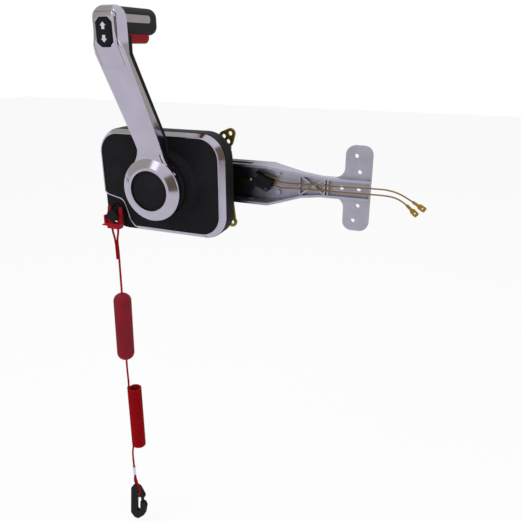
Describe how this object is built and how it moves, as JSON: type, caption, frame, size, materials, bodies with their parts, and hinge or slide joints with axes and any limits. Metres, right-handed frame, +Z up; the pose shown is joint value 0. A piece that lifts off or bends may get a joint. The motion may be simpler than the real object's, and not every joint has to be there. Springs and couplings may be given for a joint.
{
  "type": "side mount boat throttle control",
  "caption": "Side-mount boat throttle and shift lever with trim switch, neutral lock, engine stop switch with red lanyard, and a cable bracket.",
  "frame": {"origin": "on the lever shaft's axis, in the plane of the boat's panel", "axes": "+X aft along the cable bracket, +Y into the panel along the lever shaft, +Z up"},
  "size_m": [0.3955, 0.1615, 0.7438],
  "materials": {
    "black_plastic": "satin",
    "chrome": "polished",
    "cast_metal": "satin",
    "steel": "satin",
    "plated_gold": "satin",
    "wire_gold": "satin",
    "rubber": "matte",
    "red_plastic": "satin",
    "cord_red": "matte",
    "foam_red": "matte",
    "bronze": "satin",
    "nylon": "satin"
  },
  "bodies": {
    "base": {"housing": "black_plastic", "panel_gasket": "rubber", "trim_frame": "chrome", "face_panel": "black_plastic", "base_plate": "cast_metal", "shaft_bush_front": "bronze", "shaft_bush_rear": "bronze", "cable_bracket": "cast_metal", "base_screws": "steel", "lock_collar": "nylon", "pivot_pin": "steel", "pivot_spacer": "nylon", "micro_switch": "black_plastic", "switch_screws": "steel", "wire_upper": "wire_gold", "wire_lower": "wire_gold", "terminal_upper": "plated_gold", "terminal_lower": "plated_gold", "stop_switch_body": "black_plastic", "stop_switch_nut": "black_plastic"},
    "lever": {"main_shaft": "steel", "shaft_clip": "steel", "throttle_drive_gear": "steel", "shift_drive_gear": "steel", "lever_arm": "chrome", "head_cap": "chrome", "hub_badge": "black_plastic", "lever_bolt": "steel", "side_screw": "steel", "inner_cover": "black_plastic", "grip_body": "black_plastic", "grip_strip_left": "chrome", "grip_strip_right": "chrome", "trim_switch_base": "black_plastic", "trim_pin": "steel", "lock_spring": "steel"},
    "trim_rocker": {"trim_rocker": "black_plastic"},
    "lock_trigger": {"lock_trigger": "red_plastic"},
    "lock_rod": {"lock_rod": "steel"},
    "throttle_arm": {"throttle_arm": "plated_gold"},
    "shift_arm": {"shift_arm": "plated_gold"},
    "switch_plunger": {"switch_plunger": "nylon"},
    "stop_button": {"stop_button": "black_plastic"},
    "kill_clip": {"kill_clip": "red_plastic", "lanyard_upper": "cord_red", "lanyard_coil": "cord_red", "lanyard_lower": "cord_red", "lanyard_float": "foam_red", "lanyard_ferrule": "steel", "snap_hook": "black_plastic"},
    "hook_gate": {"hook_gate": "black_plastic"}
  },
  "joints": [
    {"name": "lever_swing", "type": "hinge", "parent": "base", "child": "lever", "pos_m": [0, 0, 0], "axis": [0, 1, 0], "range_deg": [-75, 60]},
    {"name": "trim_rock", "type": "hinge", "parent": "lever", "child": "trim_rocker", "pos_m": [0, -0.1094, 0.1688], "axis": [1, 0, 0], "range_deg": [-7, 7], "stiffness_Nm_per_rad": 0.3},
    {"name": "lock_squeeze", "type": "slide", "parent": "lever", "child": "lock_trigger", "axis": [0, 0, 1], "range_m": [0, 0.005], "stiffness_N_per_m": 600, "springref_m": -0.002, "deforming": ["lock_spring"]},
    {"name": "lock_rod_slide", "type": "slide", "parent": "lever", "child": "lock_rod", "axis": [0, -0.5388, 0.8425], "range_m": [0, 0.005]},
    {"name": "throttle_arm_swing", "type": "hinge", "parent": "base", "child": "throttle_arm", "pos_m": [0.06, 0, 0], "axis": [0, 1, 0], "range_deg": [-22, 27.5]},
    {"name": "shift_arm_swing", "type": "hinge", "parent": "base", "child": "shift_arm", "pos_m": [0.06, 0, 0], "axis": [0, 1, 0], "range_deg": [-26, 32.5]},
    {"name": "plunger_press", "type": "slide", "parent": "base", "child": "switch_plunger", "axis": [1, 0, 0], "range_m": [0, 0.0012], "stiffness_N_per_m": 400},
    {"name": "clip_pull", "type": "slide", "parent": "base", "child": "kill_clip", "axis": [0, 0, -1], "range_m": [0, 0.025]},
    {"name": "button_pop", "type": "slide", "parent": "base", "child": "stop_button", "axis": [0, 1, 0], "range_m": [0, 0.005]},
    {"name": "gate_swing", "type": "hinge", "parent": "kill_clip", "child": "hook_gate", "pos_m": [-0.06821, -0.038, -0.49943], "axis": [0, 1, 0], "range_deg": [0, 20], "stiffness_Nm_per_rad": 0.01}
  ],
  "couplings": [
    {"joint": "throttle_arm_swing", "follows": "lever_swing", "ratio": -0.36364},
    {"joint": "shift_arm_swing", "follows": "lever_swing", "ratio": -0.42857},
    {"joint": "lock_rod_slide", "follows": "lock_squeeze", "ratio": 1},
    {"joint": "button_pop", "follows": "clip_pull", "ratio": 0.2}
  ]
}
